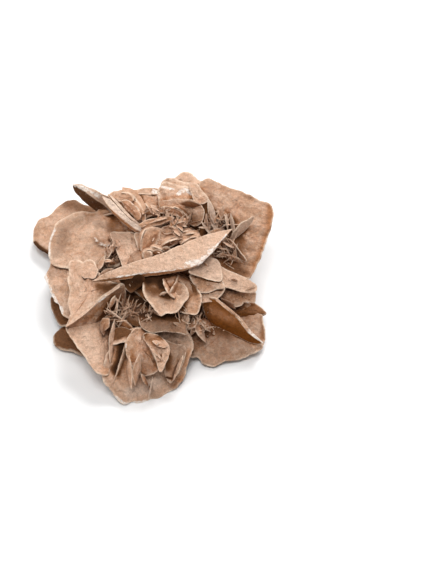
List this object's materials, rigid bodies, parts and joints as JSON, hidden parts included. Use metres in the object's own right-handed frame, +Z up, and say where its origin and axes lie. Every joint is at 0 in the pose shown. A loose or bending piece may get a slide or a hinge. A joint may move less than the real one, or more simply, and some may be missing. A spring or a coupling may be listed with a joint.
{
  "type": "gypsum sand rose",
  "caption": "A sand rose: flat brown gypsum crystals grown through one another like petals, set out as a mineral specimen",
  "frame": {"origin": "on the flat that it rests on, under the middle of the mass", "axes": "+X across to the right and +Y from front to back, as seen from the front; +Z up from the rest face"},
  "size_m": [0.1844, 0.1869, 0.0779],
  "materials": {
    "gypsum": "matte, grainy, with sparkling broken edges"
  },
  "bodies": {
    "root": {"sand_rose": "gypsum"}
  },
  "joints": []
}
